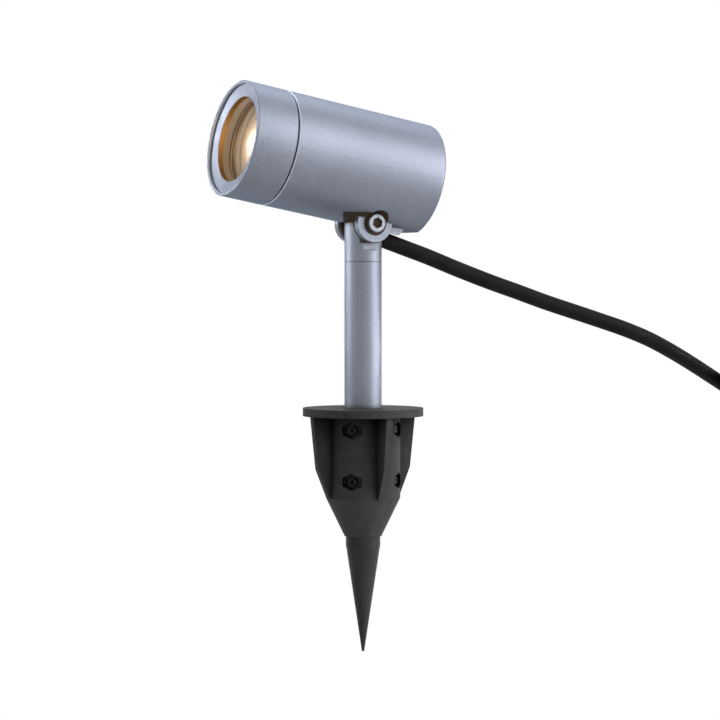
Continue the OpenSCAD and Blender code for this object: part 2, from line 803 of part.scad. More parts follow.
module bracket_screws() {
    seat_n = floor_n - bracket_head_sink;
    color(steel) in_head() each_bracket_screw() difference() {
        union() {
            translate([0, 0, block_top_n - bracket_screw_grip + fit])
                cylinder(r = bracket_screw_d / 2, h = seat_n - block_top_n + bracket_screw_grip);
            translate([0, 0, seat_n]) cylinder(r = bracket_head_d / 2, h = bracket_head_h);
        }
        translate([0, 0, seat_n + bracket_head_h / 2]) hex_prism(bracket_socket_af, bracket_head_h);
    }
}

module friction_discs() {
    color(brown) in_head() for (s = [-1, 1]) on_side(s)
        across(tongue_v + fit) washer_shape(disc_r, bolt_bore_r, disc_t);
}

module pivot_bolt() {
    color(silver) in_head() difference() {
        union() {
            across(-head_v - nut_h - bolt_tail) cylinder(r = bolt_r, h = 2 * head_v + nut_h + bolt_tail);
            across(head_v) cylinder(r = bolt_head_d / 2, h = bolt_head_h - edge);
            across(head_v + bolt_head_h - edge)
                cylinder(r1 = bolt_head_d / 2, r2 = bolt_head_d / 2 - edge, h = edge);
        }
        across(head_v + bolt_head_h / 3) hex_prism(bolt_socket_af, bolt_head_h);
    }
}

module pivot_washers() {
    color(brown) in_head() for (s = [-1, 1]) on_side(s)
        across(seat_v) washer_shape(seat_r - fit, bolt_bore_r, washer_t);
}

module pivot_nut() {
    color(steel) in_head() mirror([1, 0, 0]) across(head_v) difference() {
        hex_prism(nut_af, nut_h);
        translate([0, 0, -over]) cylinder(r = bolt_r + slip, h = nut_h + 2 * over);
    }
}

// Lamp head

module barrel_outside() {
    rotate_extrude() polygon(concat(
        [[0, -rear_reach]],
        [for (a = [-90 : 15 : 0]) [head_r - end_round + end_round * cos(a),
                                  end_round - rear_reach + end_round * sin(a)]],
        [[head_r, barrel_front_f - edge], [head_r - edge, barrel_front_f], [neck_r, barrel_front_f],
         [neck_r, neck_front_f - edge], [neck_r - edge, neck_front_f], [0, neck_front_f]]));
}

module barrel_inside() {
    on_axis(spreader_back_f) cylinder(r = neck_bore_r, h = head_l);
    on_axis(floor_front_f) cylinder(r = cavity_r, h = spreader_back_f - floor_front_f + over);
    intersection() {
        on_axis(cavity_back_f) cylinder(r = cavity_r, h = floor_front_f - cavity_back_f + over);
        head_box(head_d, cavity_back_f - over, floor_front_f + over, floor_n, head_d);
    }
}

module barrel() {
    color(silver) in_head() difference() {
        on_axis(0) barrel_outside();
        barrel_inside();
        head_box(head_d, -2 * rear_reach, block_front_f, flat_n - head_d, flat_n);
        difference() {
            block_shape(fit);
            head_box(head_d, -head_d, head_d, pocket_top_n, head_d);
        }
        head_box(ear_out_v + fit, -block_step - fit, block_front_f + fit, block_top_n - over, pocket_top_n);
        head_box(tail_v + fit, -tail_back - fit, -block_step, block_top_n - over, pocket_top_n);
        pivot_seats();
        cylinder(r = wire_grommet_r, h = floor_n + over);
        each_bracket_screw() {
            cylinder(r = bracket_screw_d / 2 + fit, h = head_r);
            translate([0, 0, floor_n - bracket_head_sink])
                cylinder(r = bracket_head_d / 2 + fit, h = head_r / 2);
        }
        on_axis(o_ring_f) rotate_extrude()
            translate([neck_r - o_ring_t, -o_ring_t / 2 - slip])
                square([o_ring_t, o_ring_t + 2 * slip]);
    }
}

module cap_o_ring() {
    color(black_rubber) in_head() on_axis(o_ring_f) rotate_extrude()
        translate([cap_bore_r - slip / 2 - o_ring_t / 2, 0]) circle(d = o_ring_t, $fn = 24);
}

module front_cap() {
    color(silver) in_head() on_axis(0) rotate_extrude() polygon([
        [head_r - edge, cap_back_f], [head_r, cap_back_f + edge], [head_r, front_f - edge],
        [head_r - edge, front_f], [head_r - lip_w + edge / 2, front_f], [head_r - lip_w, front_f - edge / 2],
        [head_r - lip_w, ring_f], [opening_r + edge / 2, opening_f], [opening_r, opening_f - edge / 2],
        [opening_r, glass_seat_f], [channel_r, glass_seat_f], [channel_r, neck_front_f],
        [cap_bore_r, neck_front_f], [cap_bore_r, cap_back_f]]);
}

module glass_gasket() {
    outer = channel_r - slip;
    rim = outer - gasket_t;
    inner = outer - gasket_t - gasket_hold;
    lip = opening_r + gasket_lip_back;
    color(black_rubber) in_head() on_axis(neck_front_f) rotate_extrude() polygon([
        [inner, 0], [outer, 0], [outer, glass_pack], [lip, glass_pack], [lip, glass_pack - gasket_front_t],
        [rim, glass_pack - gasket_front_t], [rim, gasket_t], [inner, gasket_t]]);
}

module front_glass() {
    color([0.85, 0.92, 0.95, 0.4]) in_head() on_axis(neck_front_f + gasket_t + slip)
        cylinder(r = channel_r - gasket_t - 2 * slip, h = glass_t - 2 * slip);
}

// Radius of the reflector's inside, a paraboloid, at a share s of its depth
function bowl_r(s) = let (low = chip_d / 2 + chip_margin)
    sqrt(low * low + (reflector_r * reflector_r - low * low) * s);

module reflector() {
    rim_top = reflector_h + reflector_rim_t;
    color([0.75, 0.6, 0.4]) in_head() on_axis(board_front_f) rotate_extrude() polygon(concat(
        [for (i = [0 : bowl_steps]) [bowl_r(i / bowl_steps), reflector_h * i / bowl_steps]],
        [[reflector_r, rim_top], [spreader_r, rim_top], [spreader_r, reflector_h]],
        [for (i = [bowl_steps : -1 : 0]) [bowl_r(i / bowl_steps) + reflector_wall,
                                          (reflector_h - eps) * i / bowl_steps]]));
}

// Radius of the lens's domed front at a share s of its height
function dome_r(s) = lens_r * sqrt(1 - s);

module led_lens() {
    edge_f = lens_front_f - lens_dome_h;
    color([0.95, 0.9, 0.8, 0.7]) in_head() on_axis(0) rotate_extrude() polygon(concat(
        [[0, board_front_f + chip_t], [chip_d / 2, board_front_f + chip_t], [lens_r, edge_f - lens_edge_t]],
        [for (i = [0 : lens_steps]) [dome_r(i / lens_steps), edge_f + lens_dome_h * i / lens_steps]]));
}

module led_chip() {
    color([1, 0.85, 0.45]) in_head() on_axis(board_front_f) cylinder(d = chip_d, h = chip_t);
}

module each_board_screw() {
    for (s = [-1, 1]) translate([s * board_screw_r, 0, 0]) children();
}

module led_board() {
    color([0.9, 0.9, 0.88]) in_head() on_axis(spreader_front_f) difference() {
        cylinder(d = board_d, h = board_t);
        each_board_screw() translate([0, 0, -eps])
            cylinder(r1 = board_screw_d / 2 + slip, r2 = board_screw_d + slip, h = board_t + 2 * eps);
    }
}

module board_screws() {
    color(steel) in_head() on_axis(spreader_front_f) each_board_screw() {
        translate([0, 0, -board_screw_l]) cylinder(d = board_screw_d, h = board_screw_l);
        cylinder(r1 = board_screw_d / 2, r2 = board_screw_d, h = board_t);
    }
}

module heat_spreader() {
    color([0.8, 0.8, 0.82]) in_head() on_axis(spreader_back_f) difference() {
        union() {
            cylinder(r = spreader_r, h = spreader_t);
            translate([0, 0, -spreader_boss_l]) cylinder(r = spreader_boss_r, h = spreader_boss_l + over);
        }
        translate([0, 0, -spreader_boss_l - over]) cylinder(r = wire_hole_r, h = head_l);
        each_board_screw() translate([0, 0, spreader_t - board_screw_l - fit])
            cylinder(r = board_screw_d / 2 + slip, h = head_l);
    }
}

module led_wires() {
    color([0.8, 0.2, 0.15]) in_head() for (s = [-1, 1])
        translate([0, 0, s * led_wire_n]) on_axis(driver_front_f)
            cylinder(d = led_wire_d, h = spreader_front_f - driver_front_f);
}

module driver_case() {
    color([0.9, 0.9, 0.9]) in_head() {
        translate([0, -driver_back_f, driver_low_n]) rotate([90, 0, 0])
            linear_extrude(height = driver_l) translate([-driver_w / 2, 0]) polygon([
                [0, driver_round], [driver_round, 0], [driver_w - driver_round, 0], [driver_w, driver_round],
                [driver_w, driver_h - driver_round], [driver_w - driver_round, driver_h],
                [driver_round, driver_h], [0, driver_h - driver_round]]);
        for (s = [-1, 1]) on_side(s) for (f = [driver_back_f, foot_front_f - foot_l])
            translate([foot_in_v, -f - foot_l, floor_n])
                cube([driver_w / 2 - driver_round - foot_in_v, foot_l, foot_h + over]);
    }
}

module terminal_block() {
    color([0.92, 0.92, 0.9]) in_head() difference() {
        head_box(terminal_w / 2, terminal_back_f, terminal_back_f + terminal_l, driver_top_n,
                 driver_top_n + terminal_h);
        for (k = [-1 : 1])
            translate([k * terminal_w / 3, -terminal_back_f - terminal_l / 2, wire_high_n])
                cylinder(d = terminal_hole_d, h = terminal_h);
    }
}

// A straight stretch of round wire from p to q, with a ball at q for the bend
module wire_stretch(p, q) {
    d = q - p;
    translate(p) rotate([0, acos(d[2] / norm(d)), atan2(d[1], d[0])]) cylinder(d = core_wire_d, h = norm(d));
    translate(q) sphere(d = core_wire_d);
}

module core_wires() {
    stops = [[0, floor_n - over], [0, wire_low_n], [wire_back_f, wire_low_n], [wire_back_f, wire_high_n],
             [terminal_back_f - core_wire_d / 2, wire_high_n]];
    color([0.2, 0.35, 0.7]) in_head() for (k = [-1 : 1]) for (i = [1 : len(stops) - 1])
        wire_stretch([k * core_wire_pitch, -stops[i - 1][0], stops[i - 1][1]],
                     [k * core_wire_pitch, -stops[i][0], stops[i][1]]);
}

module wire_grommet() {
    low_n = block_top_n + slip;
    color(black_rubber) in_head() translate([0, 0, low_n])
        washer_shape(wire_grommet_r - slip, wire_hole_r, floor_n - low_n);
}

spike_body();
spike_point();
clamp_nuts();
clamp_screws();
pole();
pan_grub_screw();
knuckle();
knuckle_o_ring();
pan_washer();
cable_grommet();
cord_run();
cord_coil();
cord_tie();
plug_body();
plug_pins();
plug_earth_clips();
joint_bracket();
bracket_gasket();
bracket_screws();
friction_discs();
pivot_bolt();
pivot_washers();
pivot_nut();
barrel();
cap_o_ring();
front_cap();
glass_gasket();
front_glass();
reflector();
led_lens();
led_chip();
led_board();
board_screws();
heat_spreader();
led_wires();
driver_case();
terminal_block();
core_wires();
wire_grommet();
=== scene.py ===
"""Garden spike spotlight: camera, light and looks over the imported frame.

Named lengths are in millimetres, and MM turns them into metres.
"""
import json
import math

import bmesh
import bpy
from mathutils import Matrix, Vector


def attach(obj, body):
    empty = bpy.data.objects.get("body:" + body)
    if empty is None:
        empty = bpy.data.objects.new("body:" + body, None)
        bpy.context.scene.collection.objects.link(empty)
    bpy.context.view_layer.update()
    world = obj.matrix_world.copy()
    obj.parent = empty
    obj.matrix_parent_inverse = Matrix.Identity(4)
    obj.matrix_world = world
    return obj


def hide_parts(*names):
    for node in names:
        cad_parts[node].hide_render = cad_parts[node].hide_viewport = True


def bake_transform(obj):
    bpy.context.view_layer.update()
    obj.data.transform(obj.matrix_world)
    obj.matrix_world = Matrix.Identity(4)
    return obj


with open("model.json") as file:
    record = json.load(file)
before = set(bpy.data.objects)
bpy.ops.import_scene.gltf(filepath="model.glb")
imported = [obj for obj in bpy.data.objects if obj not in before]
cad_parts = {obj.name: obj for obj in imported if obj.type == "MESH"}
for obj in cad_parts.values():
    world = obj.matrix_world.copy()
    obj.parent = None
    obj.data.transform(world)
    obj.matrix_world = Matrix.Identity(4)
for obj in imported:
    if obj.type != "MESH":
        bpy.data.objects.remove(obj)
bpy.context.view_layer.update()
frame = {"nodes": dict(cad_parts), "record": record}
MM = 0.001
X_AXIS = Vector((1, 0, 0))
Z_AXIS = Vector((0, 0, 1))

# Camera: a long lens a little above soil level, to the lamp's front right
VIEW_AZIMUTH = math.radians(62.7)
VIEW_ELEVATION = math.radians(1.73)
VIEW_ANGLE = math.radians(16.82)
VIEW_DISTANCE = 1217.5
AIM_HEIGHT = 27.89
AIM_SIDE = -1.53
SENSOR = 36.0

# Directions across, up and out of the picture
RIGHT = Vector((math.cos(VIEW_AZIMUTH), math.sin(VIEW_AZIMUTH), 0))
BACK = Vector((math.sin(VIEW_AZIMUTH) * math.cos(VIEW_ELEVATION),
               -math.cos(VIEW_AZIMUTH) * math.cos(VIEW_ELEVATION), math.sin(VIEW_ELEVATION)))
UP = BACK.cross(RIGHT)

# Lamp head at rest: the pivot, and the lamp's axis, which passes above it
PIVOT = Vector((0, 0, 96))
REST_TILT = math.radians(10.5)
AXIS_OFFSET = 27
LAMP_FORWARD = Vector((0, -math.cos(REST_TILT), math.sin(REST_TILT)))
LAMP_UP = Vector((0, math.sin(REST_TILT), math.cos(REST_TILT)))

# Cable: the same route as in the CAD source
CABLE_D = 8
TIE_T = 0.8
FIT = 0.1
RUN_POINTS = [(0, 6.5, 89.6), (0, 22, 84.5), (0, 37, 79.6), (0, 54, 73.5), (0, 72, 67.4),
              (0, 90, 61.8), (0, 107, 56.4), (0, 124, 51.5), (0, 140, 46.9), (0, 156, 42.1),
              (-2.1, 172.8, 36.5), (-7.1, 191.1, 29.5), (-14.2, 210, 22), (-21, 227.7, 14.6),
              (-24.8, 240.5, 9), (-26, 249.5, 5.7), (-26.2, 257.5, 4.9)]
COIL_R = 48.8
COIL_GAP = 0.6
COIL_PITCH = CABLE_D + COIL_GAP
COIL_CENTRE = (RUN_POINTS[-1][0] + COIL_R, 264.8)
LAYER_TURNS = 2
RINGS_PER_TURN = 24
EASE_TURNS = 0.5
RISE_TURN = 2 * LAYER_TURNS + 0.5
LEAVE_TURN = 2 * LAYER_TURNS + 0.75
END_TURN = 2 * LAYER_TURNS + 1
LEAVE_BEND_R = 34.5
LEAVE_SHIFT = COIL_R - COIL_PITCH * (LEAVE_TURN - 2 * LAYER_TURNS) - LEAVE_BEND_R
LIFT = CABLE_D / 2 + TIE_T + FIT
TOP_LAYER_Z = LIFT + 2 * COIL_PITCH

# Cable meshes: a near stretch up to NEAR_END_Y, and the rest on to the coil and the plug
STEP = 1.6
TUBE_SIDES = 28
END_STEP = 0.02
NEAR_END_Y = 60

# Plug: (radius, height) along its axis, and grip flutes, which leave out the earth clips' lines
PLUG_R = 18
PLUG_AXIS_Z = TOP_LAYER_Z + CABLE_D / 2 + FIT + PLUG_R
PLUG_PROFILE = [(0, 0), (4.9, 0), (5.4, 0.5), (5.5, 3.4), (5.2, 4), (5.2, 5.6), (5.6, 6.2),
                (5.7, 8.8), (5.4, 9.4), (5.4, 11), (5.9, 11.6), (6.0, 14.4), (5.7, 15),
                (5.7, 16.6), (6.2, 17.2), (6.4, 20), (8.2, 21.6), (12.4, 25.6), (15.2, 29),
                (16.8, 32), (17.6, 35), (17.9, 38), (17.9, 50), (17.7, 52.6), (17.2, 53.8),
                (15.6, 54), (0, 54)]
PLUG_SIDES = 156
PLUG_STEP = 1.5
FLUTE_START = 33
FLUTE_END = 49
FLUTE_RUN_IN = 2
FLUTE_COUNT = 26
FLUTE_DEPTH = 0.7
CLIP_SPAN = 0.02

# Colours painted on the head and the bolt, where the photograph shows them
# Painted shade: a warm brown for close places at the joint and on the bolt, the bolt's socket and
# the barrel's underside above the tongue, also given as a faint glow
SHADE_BROWN = (0.024, 0.0165, 0.012)
# Painted shade: near black for the close places of the black plastics and nuts
SHADE_BLACK = (0.001, 0.001, 0.001)
# Painted light: the lamp's warm light on the wall of the bore
BORE_WARM_LIGHT = (0.25, 0.145, 0.06)
SEAM_DARK = (0.012, 0.009, 0.008)
# Painted highlight on the barrel's front edge beside the seam
SEAM_HIGHLIGHT = (0.45, 0.49, 0.57)
# Painted light on the inner wall of the front lip, which lies in shade
LIP_PAINTED_LIGHT = (0.38, 0.41, 0.48)

# Painted regions: the limits where they start and where they end. Each limit names one of the
# head's measures, and gives a distance and the width of the soft edge
BOLT_SOCKET = ({"right": (8, 1)}, {"off_bolt": (2.3, 0.2)})
JOINT_SIDE = ({}, {"forward": (40, 1)})
EARS = ({"aside": (8, 0.3)}, {"off_bolt": (10, 0.3), "above": (3, 0.3)})
# Painted shade on the barrel's underside above the tongue, in place of a shaded pocket that the
# shape doesn't have
POCKET = ({"above": (0.2, 0.3), "across": (-10, 0.3), "off_axis": (20, 0.3)},
          {"above": (5.2, 0.3), "across": (4, 0.3)})
BORE = ({"forward": (40, 1)}, {"off_axis": (21.02, 0.08)})
SEAM_EDGE = ({"forward": (54.95, 0.15), "off_axis": (27.9, 0.1)}, {"forward": (55.52, 0.03)})
SEAM = ({"forward": (55.55, 0.05)}, {"forward": (56.25, 0.1)})
LIP = ({"forward": (76.5, 0.2)}, {"off_axis": (27.05, 0.1)})

# Crevices, where shade is painted: how close other surfaces are, and the range of openness from
# crevice to open
JOINT_GAPS = (6, 0.42, 0.72)
CREVICE_SAMPLES = 8

# Glow of the lens from the lamp's axis out to its edge
LENS_R = 18
LENS_STRENGTH = 2.2
LENS_GLOW = [(0.0, (1, 0.93, 0.72)), (0.28, (0.8, 0.6, 0.34)), (0.42, (0.3, 0.19, 0.09)),
             (0.66, (0.13, 0.075, 0.03)), (1.0, (0.05, 0.03, 0.015))]

# Waviness of every plain surface
WAVE = 0.1
WAVE_DEPTH = 0.2

# Plain surfaces: two tones, the range of roughness, and what differs from surface's defaults
SURFACES = {
    "bare_aluminium": ((0.62, 0.63, 0.64), (0.72, 0.73, 0.74), (0.3, 0.42), {"metallic": 1.0}),
    # hollow paints near-black shade where other surfaces are close
    "spike_plastic": ((0.034, 0.033, 0.033), (0.046, 0.045, 0.045), (0.5, 0.6),
                      {"patch_scale": 200, "grain_scale": 1000, "grain": 0.5,
                       "grain_depth": 0.08, "specular": 0.04, "hollow": (18, 0.4, 0.97)}),
    "point_plastic": ((0.024, 0.024, 0.0245), (0.031, 0.031, 0.0315), (0.38, 0.46),
                      {"grain": 0.12, "grain_depth": 0.03, "specular": 0.1}),
    "zinc_steel": ((0.4, 0.41, 0.43), (0.52, 0.53, 0.55), (0.3, 0.45), {"metallic": 1.0}),
    # crevice paints warm brown shade on the bolt's close places and its socket
    "bolt_steel": ((0.2, 0.215, 0.25), (0.26, 0.28, 0.32), (0.35, 0.45),
                   {"metallic": 1.0, "crevice": (8, 0.5, 0.7)}),
    # hollow paints near-black shade where other surfaces are close
    "black_steel": ((0.012, 0.012, 0.0125), (0.02, 0.02, 0.021), (0.3, 0.42),
                    {"metallic": 0.4, "specular": 0.2, "patch_scale": 200,
                     "hollow": (5, 0.4, 0.8)}),
    "nickel_brass": ((0.66, 0.65, 0.6), (0.74, 0.73, 0.69), (0.2, 0.3), {"metallic": 1.0}),
    "brown_fibre": ((0.045, 0.032, 0.024), (0.07, 0.05, 0.038), (0.7, 0.85),
                    {"patch_scale": 250, "grain": 0.3, "grain_depth": 0.08, "specular": 0.15}),
    "seal_rubber": ((0.012, 0.012, 0.012), (0.02, 0.02, 0.02), (0.55, 0.7), {}),
    "cable_rubber": ((0.006, 0.006, 0.006), (0.01, 0.01, 0.01), (0.5, 0.62),
                     {"patch_scale": 90, "grain_scale": 1500, "grain": 0.3,
                      "grain_depth": 0.06, "specular": 0.03}),
    "strap_plastic": ((0.02, 0.02, 0.02), (0.035, 0.035, 0.035), (0.5, 0.65), {"grain": 0.3}),
    "phosphor": ((0.8, 0.6, 0.16), (0.9, 0.7, 0.24), (0.5, 0.7), {"patch_scale": 400}),
    "white_board": ((0.78, 0.78, 0.76), (0.86, 0.86, 0.84), (0.3, 0.4), {}),
    "white_plastic": ((0.74, 0.74, 0.72), (0.82, 0.82, 0.8), (0.45, 0.55), {}),
    "wire_insulation": ((0.2, 0.11, 0.05), (0.28, 0.17, 0.09), (0.4, 0.55), {}),
}

# Floor, and a plinth under the coil
FLOOR_Z = -119.2
FLOOR_HALF = 6000
PLINTH_EDGE = 2
PLINTH_SIDES = 96

# Studio world: parts of the direction, start, end and strength of each soft lobe, and a base
WORLD_LOBES = [((0.9, 0.3, 0.15), 0.3, 1.0, 1.6), ((0, 1, -0.5), 0.35, 1.0, 1.3)]
WORLD_BASE = 0.04

# Light of the lamp itself
WARM = (1.0, 0.7, 0.38)


def on_lamp_axis(f):
    """Point of the lamp's axis at distance f in front of the pivot."""
    return PIVOT + LAMP_UP * AXIS_OFFSET + LAMP_FORWARD * f


def toward(right, up, back):
    """Unit direction from its parts across, up and out of the picture."""
    return (RIGHT * right + UP * up + BACK * back).normalized()


def facing(place, right, back):
    """World matrix of a camera or lamp at place, from the directions to its right and back."""
    turn = Matrix((right, back.cross(right), back)).transposed().to_4x4()
    return Matrix.Translation(place * MM) @ turn


def add_camera():
    data = bpy.data.cameras.new("view_camera")
    data.sensor_width = SENSOR
    data.lens = SENSOR / 2 / math.tan(VIEW_ANGLE / 2)
    camera = bpy.data.objects.new("view_camera", data)
    bpy.context.collection.objects.link(camera)
    aim = Vector((0, 0, AIM_HEIGHT)) + RIGHT * AIM_SIDE
    camera.matrix_world = facing(aim + BACK * VIEW_DISTANCE, RIGHT, BACK)
    bpy.context.scene.camera = camera


# Shapes
def clamped(share):
    """The share, kept between 0 and 1."""
    return min(1, max(0, share))


def smooth(share):
    """Eases from 0 to 1 and stays level outside."""
    share = clamped(share)
    return share * share * (3 - 2 * share)


def coil_point(turn):
    """Point of the coil: in on one layer, out on the next, in on the third, across to the plug."""
    angle = math.radians(180 - 360 * turn)
    lap = turn % (2 * LAYER_TURNS)
    radius = COIL_R - COIL_PITCH * min(lap, 2 * LAYER_TURNS - lap)
    shift = 0
    if turn > LEAVE_TURN:
        radius, shift = LEAVE_BEND_R, LEAVE_SHIFT
    layers = (smooth((turn - LAYER_TURNS) / EASE_TURNS + 0.5)
              + smooth((turn - 2 * LAYER_TURNS) / EASE_TURNS + 0.5))
    rise = (PLUG_AXIS_Z - TOP_LAYER_Z) * smooth((turn - RISE_TURN) / EASE_TURNS)
    return (COIL_CENTRE[0] + radius * math.cos(angle),
            COIL_CENTRE[1] - shift + radius * math.sin(angle), LIFT + COIL_PITCH * layers + rise)


def smooth_path(points, step):
    """Points about every step along a Catmull-Rom curve through the given ones."""
    pts = [Vector(p) for p in points]
    ends = [pts[0] * 2 - pts[1]] + pts + [pts[-1] * 2 - pts[-2]]
    path = []
    for a, b, c, d in zip(ends, ends[1:], ends[2:], ends[3:]):
        count = max(1, round((c - b).length / step))
        for i in range(count):
            t = i / count
            path.append(0.5 * (2 * b + (c - a) * t + (2 * a - 5 * b + 4 * c - d) * t * t
                               + (3 * b - a - 3 * c + d) * t ** 3))
    return path + [pts[-1]]


def add_mesh(name, bm):
    """Turns a bmesh into an object of the scene, with its faces outward."""
    bmesh.ops.recalc_face_normals(bm, faces=bm.faces)
    mesh = bpy.data.meshes.new(name)
    bm.to_mesh(mesh)
    bm.free()
    obj = bpy.data.objects.new(name, mesh)
    bpy.context.collection.objects.link(obj)
    return obj


def with_end_rings(points):
    """The points with one more close to each end, which keeps the shading clean there."""
    first = points[0] + (points[1] - points[0]).normalized() * END_STEP * MM
    last = points[-1] - (points[-1] - points[-2]).normalized() * END_STEP * MM
    return [points[0], first] + points[1:-1] + [last, points[-1]]


def tube_mesh(name, path, radius):
    """A closed round tube along path, with rings that don't twist. All in metres."""
    points = with_end_rings(path)
    bm = bmesh.new()
    rings = []
    side = X_AXIS
    for i, here in enumerate(points):
        along = (points[min(i + 1, len(points) - 1)] - points[max(i - 1, 0)]).normalized()
        side = (side - along * side.dot(along)).normalized()
        other = along.cross(side)
        rings.append([bm.verts.new(here + (side * math.cos(a) + other * math.sin(a)) * radius)
                      for a in (math.tau * k / TUBE_SIDES for k in range(TUBE_SIDES))])
    for low, high in zip(rings, rings[1:]):
        for k in range(TUBE_SIDES):
            n = (k + 1) % TUBE_SIDES
            bm.faces.new((low[k], low[n], high[n], high[k]))
    bm.faces.new(list(reversed(rings[0])))
    bm.faces.new(rings[-1])
    for face in bm.faces:
        face.smooth = len(face.verts) == 4
    return add_mesh(name, bm)


def dense_profile():
    """The plug's profile with points at most PLUG_STEP apart in height."""
    dense = []
    for (r0, h0), (r1, h1) in zip(PLUG_PROFILE, PLUG_PROFILE[1:]):
        count = max(1, math.ceil(abs(h1 - h0) / PLUG_STEP))
        dense += [(r0 + (r1 - r0) * i / count, h0 + (h1 - h0) * i / count) for i in range(count)]
    return dense + [PLUG_PROFILE[-1]]


def flute_dip(height, angle):
    """Depth of the grip flutes at a height and an angle around the plug."""
    if abs(abs(math.sin(angle)) - 1) < CLIP_SPAN:
        return 0
    share = (clamped((height - FLUTE_START) / FLUTE_RUN_IN)
             * clamped((FLUTE_END - height) / FLUTE_RUN_IN))
    return FLUTE_DEPTH * share * (0.5 + 0.5 * math.cos(FLUTE_COUNT * angle)) ** 2


def add_plug(back_end):
    """A lathed plug body with grip flutes from back_end on, over the CAD one."""
    bm = bmesh.new()
    rings = []
    for r, h in dense_profile():
        ring = []
        for k in range(PLUG_SIDES if r else 1):
            a = math.tau * k / PLUG_SIDES
            reach = r - flute_dip(h, a)
            place = back_end + Vector((reach * math.cos(a), h, reach * math.sin(a)))
            ring.append(bm.verts.new(place * MM))
        rings.append(ring)
    for low, high in zip(rings, rings[1:]):
        for k in range(PLUG_SIDES):
            n = (k + 1) % PLUG_SIDES
            corners = [low[k % len(low)], low[n % len(low)],
                       high[n % len(high)], high[k % len(high)]]
            bm.faces.new(list(dict.fromkeys(corners)))
    for face in bm.faces:
        face.smooth = True
    plug = add_mesh("plug_shell", bm)
    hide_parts("plug_body")
    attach(plug, "knuckle")
    return plug


# Nodes. Noise scales are per metre of the object's own coordinates, and shares run from 0 to 1
def feed(tree, socket, value):
    """Links value into socket, or sets it there where it isn't a link."""
    if isinstance(value, bpy.types.NodeSocket):
        tree.links.new(value, socket)
    else:
        socket.default_value = value


def chain(tree, operation, values):
    """Joins values, which are links or numbers, by one operation."""
    total = values[0]
    for value in values[1:]:
        node = tree.nodes.new("ShaderNodeMath")
        node.operation = operation
        feed(tree, node.inputs[0], total)
        feed(tree, node.inputs[1], value)
        total = node.outputs[0]
    return total


def all_of(tree, *shares):
    """Product of shares."""
    return chain(tree, "MULTIPLY", shares)


def either_of(tree, *shares):
    """The largest of shares."""
    return chain(tree, "MAXIMUM", shares)


def vector_maths(tree, operation, one, other=None):
    """Vector node, whose two results are the outputs Vector and Value."""
    node = tree.nodes.new("ShaderNodeVectorMath")
    node.operation = operation
    tree.links.new(one, node.inputs[0])
    if other is not None:
        node.inputs[1].default_value = other
    return node.outputs


def offset_from(tree, centre):
    """Vector in metres from centre, in the object's own coordinates."""
    coords = tree.nodes.new("ShaderNodeTexCoord")
    return vector_maths(tree, "SUBTRACT", coords.outputs["Object"], centre * MM)["Vector"]


def distance_off(tree, centre, axis):
    """Distance in metres from the axis through centre."""
    crossed = vector_maths(tree, "CROSS_PRODUCT", offset_from(tree, centre), axis)["Vector"]
    return vector_maths(tree, "LENGTH", crossed)["Value"]


def distance_along(tree, direction):
    """Distance in metres from the pivot along a direction."""
    return vector_maths(tree, "DOT_PRODUCT", offset_from(tree, PIVOT), direction)["Value"]


def noise(tree, scale, detail=3.0, rough=0.55):
    """Noise over the object's own coordinates, 0 to 1."""
    coords = tree.nodes.new("ShaderNodeTexCoord")
    tex = tree.nodes.new("ShaderNodeTexNoise")
    tex.inputs["Scale"].default_value = scale
    tex.inputs["Detail"].default_value = detail
    tex.inputs["Roughness"].default_value = rough
    tree.links.new(coords.outputs["Object"], tex.inputs["Vector"])
    return tex.outputs["Fac"]


def spread(tree, value, low, high, start=0.3, end=0.7):
    """Maps value from start to end, by default the main range of a noise, onto low to high."""
    node = tree.nodes.new("ShaderNodeMapRange")
    node.inputs["From Min"].default_value = start
    node.inputs["From Max"].default_value = end
    node.inputs["To Min"].default_value = low
    node.inputs["To Max"].default_value = high
    tree.links.new(value, node.inputs["Value"])
    return node.outputs["Result"]


def beyond(tree, distance, limit, edge):
    """0 where distance is under limit, rising to 1 over the width of edge."""
    return spread(tree, distance, 0, 1, limit * MM, (limit + edge) * MM)


def within(tree, distance, limit, edge):
    """1 where distance is under limit, falling to 0 over the width of edge."""
    return spread(tree, distance, 1, 0, limit * MM, (limit + edge) * MM)


def region_share(tree, measures, region):
    """1 inside a painted region, of which measures holds the distances by name."""
    starts, ends = region
    return all_of(tree, *[beyond(tree, measures[name], *limit) for name, limit in starts.items()],
                  *[within(tree, measures[name], *limit) for name, limit in ends.items()])


def crevice_share(tree, reach, start, end):
    """1 where other surfaces are close, within reach, and 0 in the open."""
    near = tree.nodes.new("ShaderNodeAmbientOcclusion")
    near.samples = CREVICE_SAMPLES
    near.inputs["Distance"].default_value = reach * MM
    return spread(tree, near.outputs["AO"], 1, 0, start, end)


def mixed(tree, share, low, high):
    """Mix by share of two colours, each plain or a link."""
    node = tree.nodes.new("ShaderNodeMix")
    node.data_type = "RGBA"
    tree.links.new(share, node.inputs["Factor"])
    for socket, colour in (("A", low), ("B", high)):
        feed(tree, node.inputs[socket], (*colour, 1) if isinstance(colour, tuple) else colour)
    return node.outputs["Result"]


def ramp(tree, value, stops):
    """Colour ramp over value with (position, colour) stops."""
    node = tree.nodes.new("ShaderNodeValToRGB")
    node.color_ramp.interpolation = "EASE"
    while len(node.color_ramp.elements) < len(stops):
        node.color_ramp.elements.new(0.5)
    for element, (place, colour) in zip(node.color_ramp.elements, stops):
        element.position = place
        element.color = (*colour, 1)
    tree.links.new(value, node.inputs["Fac"])
    return node.outputs["Color"]


